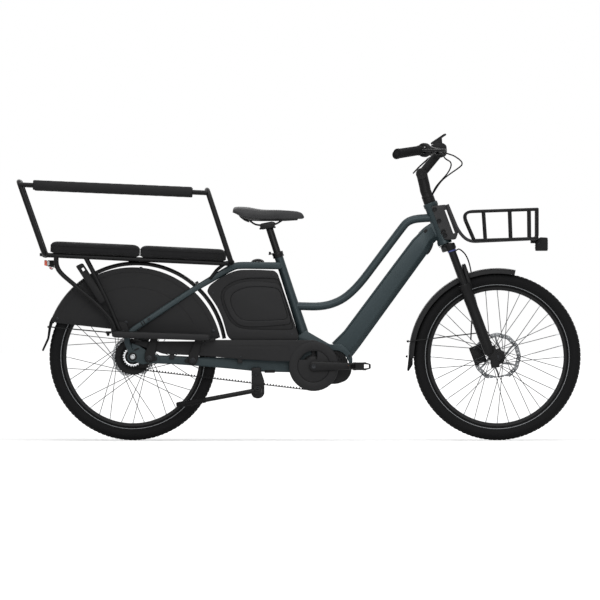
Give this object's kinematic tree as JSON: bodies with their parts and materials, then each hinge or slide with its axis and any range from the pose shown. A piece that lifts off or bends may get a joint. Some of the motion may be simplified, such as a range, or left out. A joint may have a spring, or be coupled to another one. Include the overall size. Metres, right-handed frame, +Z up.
{
  "type": "longtail cargo bike",
  "caption": "Longtail cargo bike with a mid motor, belt drive, cushioned rear rack inside a safety rail, footboards, front basket and centre stand.",
  "frame": {"origin": "centre of the bike's footprint on the ground, where both tyres stand", "axes": "+X ahead, towards the front wheel; +Y the rider's left; +Z up"},
  "size_m": [2.1164, 0.7048, 1.1546],
  "materials": {
    "frame_paint": "satin dark green-grey paint",
    "black_metal": "satin black",
    "black_plastic": "matt, fine grain",
    "rubber": "matt",
    "tyre": "matt with a thin pale reflective ring",
    "dark_alloy": "black anodised, satin",
    "steel": "brushed",
    "cushion": "dark woven cover, matt",
    "saddle_cover": "smooth artificial leather, satin",
    "lens": "orange-red, glossy",
    "battery_case": "matt"
  },
  "bodies": {
    "frame": {"main_frame": "frame_paint", "battery_lid": "frame_paint", "battery": "battery_case", "seat_stay_right": "frame_paint", "seat_stay_left": "frame_paint", "chain_stay_right": "frame_paint", "chain_stay_left": "frame_paint", "motor": "black_metal", "belt_cover": "black_plastic", "side_cover_right": "black_plastic", "side_cover_left": "black_plastic", "rack_frame": "black_metal", "cushion_rear": "cushion", "cushion_front": "cushion", "safety_rail": "black_metal", "foam_right": "rubber", "foam_left": "rubber", "rear_fender": "black_plastic", "wheel_guard_right": "black_plastic", "wheel_guard_left": "black_plastic", "footboard_right": "black_plastic", "footboard_left": "black_plastic", "tail_light_housing": "black_plastic", "tail_light_lens": "lens", "front_rack": "black_metal", "headlight": "black_plastic", "seat_clamp": "black_metal", "stand_bracket": "black_metal", "rear_caliper": "black_metal", "drive_belt": "rubber"},
    "stand_right": {"stand_leg_right": "dark_alloy"},
    "stand_left": {"stand_leg_left": "dark_alloy"},
    "seat": {"seatpost": "black_metal", "saddle": "saddle_cover"},
    "steering": {"fork_crown": "black_metal", "stem": "black_metal", "handlebar": "black_metal", "grip_right": "rubber", "grip_left": "rubber", "brake_mount_right": "black_metal", "brake_mount_left": "black_metal", "display": "black_plastic", "hose_front": "rubber", "hose_rear": "rubber"},
    "shifter": {"twist_shifter": "black_plastic"},
    "lever_right": {"brake_lever_right": "black_metal"},
    "lever_left": {"brake_lever_left": "black_metal"},
    "fork": {"fork_lowers": "black_metal", "front_fender": "black_plastic", "front_caliper": "black_metal", "fork_hose": "rubber"},
    "front_wheel": {"front_tyre": "tyre", "front_wheel": "dark_alloy", "front_rotor": "steel"},
    "rear_wheel": {"rear_tyre": "tyre", "rear_wheel": "dark_alloy"},
    "sprocket": {"rear_sprocket": "dark_alloy"},
    "cranks": {"crankset": "dark_alloy"},
    "pedal_right": {"pedal_right": "black_plastic"},
    "pedal_left": {"pedal_left": "black_plastic"}
  },
  "joints": [
    {"name": "steer", "type": "hinge", "parent": "frame", "child": "steering", "pos_m": [0.49215, 0, 0.89126], "axis": [-0.3453, 0, 0.9385], "range_deg": [-45, 45]},
    {"name": "fork_travel", "type": "slide", "parent": "steering", "child": "fork", "axis": [-0.3453, 0, 0.9385], "range_m": [0, 0.05], "stiffness_N_per_m": 9000, "springref_m": -0.03, "deforming": ["fork_hose"]},
    {"name": "front_wheel_spin", "type": "hinge", "parent": "fork", "child": "front_wheel", "pos_m": [0.74443, 0, 0.3138], "axis": [0, 1, 0], "continuous": true},
    {"name": "rear_wheel_spin", "type": "hinge", "parent": "frame", "child": "rear_wheel", "pos_m": [-0.62407, 0, 0.3138], "axis": [0, 1, 0], "continuous": true},
    {"name": "crank_spin", "type": "hinge", "parent": "frame", "child": "cranks", "pos_m": [0.0552, 0, 0.27849], "axis": [0, 1, 0], "continuous": true},
    {"name": "sprocket_spin", "type": "hinge", "parent": "frame", "child": "sprocket", "pos_m": [-0.62407, 0, 0.3138], "axis": [0, 1, 0], "continuous": true},
    {"name": "pedal_right_spin", "type": "hinge", "parent": "cranks", "child": "pedal_right", "pos_m": [0.2272, 0, 0.27849], "axis": [0, 1, 0], "continuous": true},
    {"name": "pedal_left_spin", "type": "hinge", "parent": "cranks", "child": "pedal_left", "pos_m": [-0.1168, 0, 0.27849], "axis": [0, 1, 0], "continuous": true},
    {"name": "stand_right_fold", "type": "hinge", "parent": "frame", "child": "stand_right", "pos_m": [-0.15406, -0.091, 0.18869], "axis": [-0.1088, -0.6989, 0.7069], "range_deg": [0, 66]},
    {"name": "stand_left_fold", "type": "hinge", "parent": "frame", "child": "stand_left", "pos_m": [-0.15406, 0.091, 0.18869], "axis": [0.1088, -0.6989, -0.7069], "range_deg": [0, 66]},
    {"name": "seat_height", "type": "slide", "parent": "frame", "child": "seat", "axis": [-0.3069, 0, 0.9517], "range_m": [-0.07, 0.08]},
    {"name": "brake_right", "type": "hinge", "parent": "steering", "child": "lever_right", "pos_m": [0.54471, -0.19782, 1.08638], "axis": [0, 0, -1], "range_deg": [0, 16], "stiffness_Nm_per_rad": 2, "springref_deg": -8.59},
    {"name": "brake_left", "type": "hinge", "parent": "steering", "child": "lever_left", "pos_m": [0.54471, 0.19782, 1.08638], "axis": [0, 0, 1], "range_deg": [0, 16], "stiffness_Nm_per_rad": 2, "springref_deg": -8.59},
    {"name": "shift_twist", "type": "hinge", "parent": "steering", "child": "shifter", "pos_m": [0.47569, -0.19496, 1.08768], "axis": [-0.5309, -0.8465, 0.0404], "range_deg": [0, 90]}
  ],
  "couplings": [
    {"joint": "sprocket_spin", "follows": "crank_spin", "ratio": 2.0833},
    {"joint": "stand_left_fold", "follows": "stand_right_fold", "ratio": 1}
  ]
}
